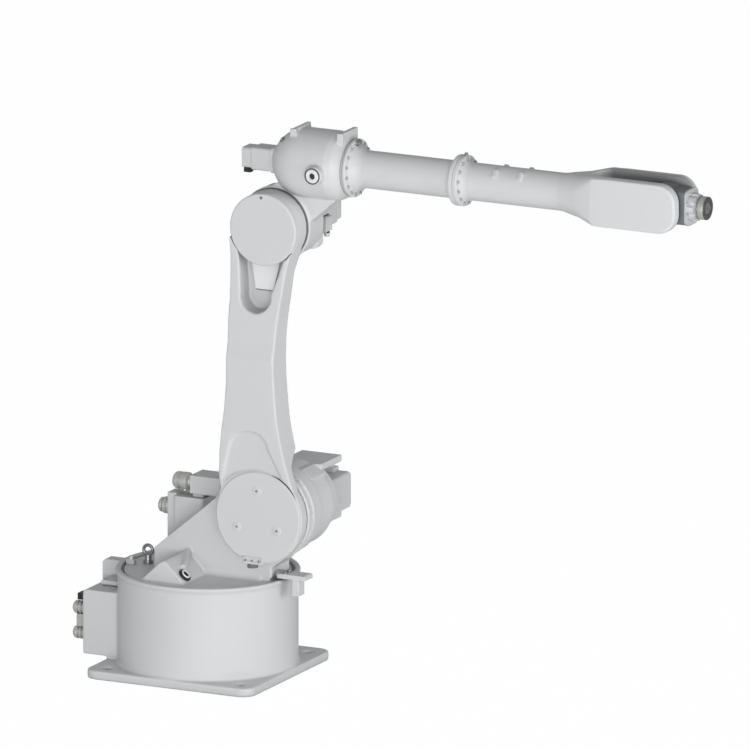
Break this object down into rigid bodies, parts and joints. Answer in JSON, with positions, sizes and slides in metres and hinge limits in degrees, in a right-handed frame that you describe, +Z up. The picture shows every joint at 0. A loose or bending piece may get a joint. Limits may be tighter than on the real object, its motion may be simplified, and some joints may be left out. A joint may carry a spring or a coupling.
{
  "type": "industrial robot arm",
  "caption": "Articulated floor-standing robot arm on a round pedestal, with a swivelling shoulder, a long lower arm, a tubular forearm and a forked wrist ending in a tool flange.",
  "frame": {"origin": "centre of the foot plate's underside, on the swivel axis", "axes": "+X forward along the forearm at rest, +Z up, +Y to the side of the shoulder and elbow motors"},
  "size_m": [1.867, 0.56, 1.528],
  "materials": {
    "paint_base": "satin pale grey enamel",
    "paint_arm": "satin pale grey enamel",
    "paint_motor": "satin mid grey enamel",
    "paint_wrist": "satin dark grey enamel",
    "bright_metal": "machined",
    "tool_steel": "turned",
    "black_plastic": "matt",
    "black_rubber": "matt"
  },
  "bodies": {
    "base": {"base_casting": "paint_base", "chamber_lid": "paint_base", "swing_stop_block": "paint_base", "connector_panel": "black_plastic", "power_connector": "bright_metal", "signal_connector": "bright_metal"},
    "carousel": {"carousel_casting": "paint_arm", "cable_gland": "black_rubber", "lifting_eye": "bright_metal", "limit_dog": "bright_metal", "swing_stop_finger": "paint_arm", "swing_motor": "paint_motor", "swing_motor_cap": "paint_motor", "swing_motor_plug": "bright_metal", "shoulder_reducer": "paint_arm", "shoulder_gear_case": "paint_arm", "shoulder_motor": "paint_motor", "shoulder_motor_plug": "paint_motor"},
    "lower_arm": {"lower_arm_casting": "paint_arm", "shoulder_cover": "paint_arm", "elbow_cover": "paint_arm", "pocket_plate": "paint_arm", "arm_bumper": "black_rubber"},
    "elbow": {"elbow_casting": "paint_arm", "elbow_gear_case": "paint_arm", "elbow_motor": "paint_motor", "elbow_motor_plug": "black_plastic", "roll_motor": "paint_motor", "roll_motor_plug": "black_plastic", "oil_plug": "bright_metal"},
    "forearm": {"forearm_rear_tube": "paint_arm", "forearm_front_tube": "paint_arm", "wrist_fork": "paint_arm", "wrist_cover_near": "paint_arm", "wrist_cover_far": "paint_arm"},
    "wrist": {"wrist_housing": "paint_wrist", "wrist_nose": "bright_metal"},
    "tool": {"tool_flange": "tool_steel"}
  },
  "joints": [
    {"name": "swivel", "type": "hinge", "parent": "base", "child": "carousel", "pos_m": [0, 0, 0.28], "axis": [0, 0, 1], "range_deg": [-170, 170]},
    {"name": "shoulder", "type": "hinge", "parent": "carousel", "child": "lower_arm", "pos_m": [0.225, -0.11, 0.474], "axis": [0, 1, 0], "range_deg": [-70, 110]},
    {"name": "elbow", "type": "hinge", "parent": "lower_arm", "child": "elbow", "pos_m": [0.225, -0.052, 1.259], "axis": [0, -1, 0], "range_deg": [-75, 120]},
    {"name": "forearm_roll", "type": "hinge", "parent": "elbow", "child": "forearm", "pos_m": [0.44, 0, 1.428], "axis": [1, 0, 0], "range_deg": [-180, 180]},
    {"name": "wrist_bend", "type": "hinge", "parent": "forearm", "child": "wrist", "pos_m": [1.362, 0, 1.428], "axis": [0, -1, 0], "range_deg": [-120, 120]},
    {"name": "tool_turn", "type": "hinge", "parent": "wrist", "child": "tool", "pos_m": [1.472, 0, 1.428], "axis": [1, 0, 0], "range_deg": [-360, 360]}
  ]
}
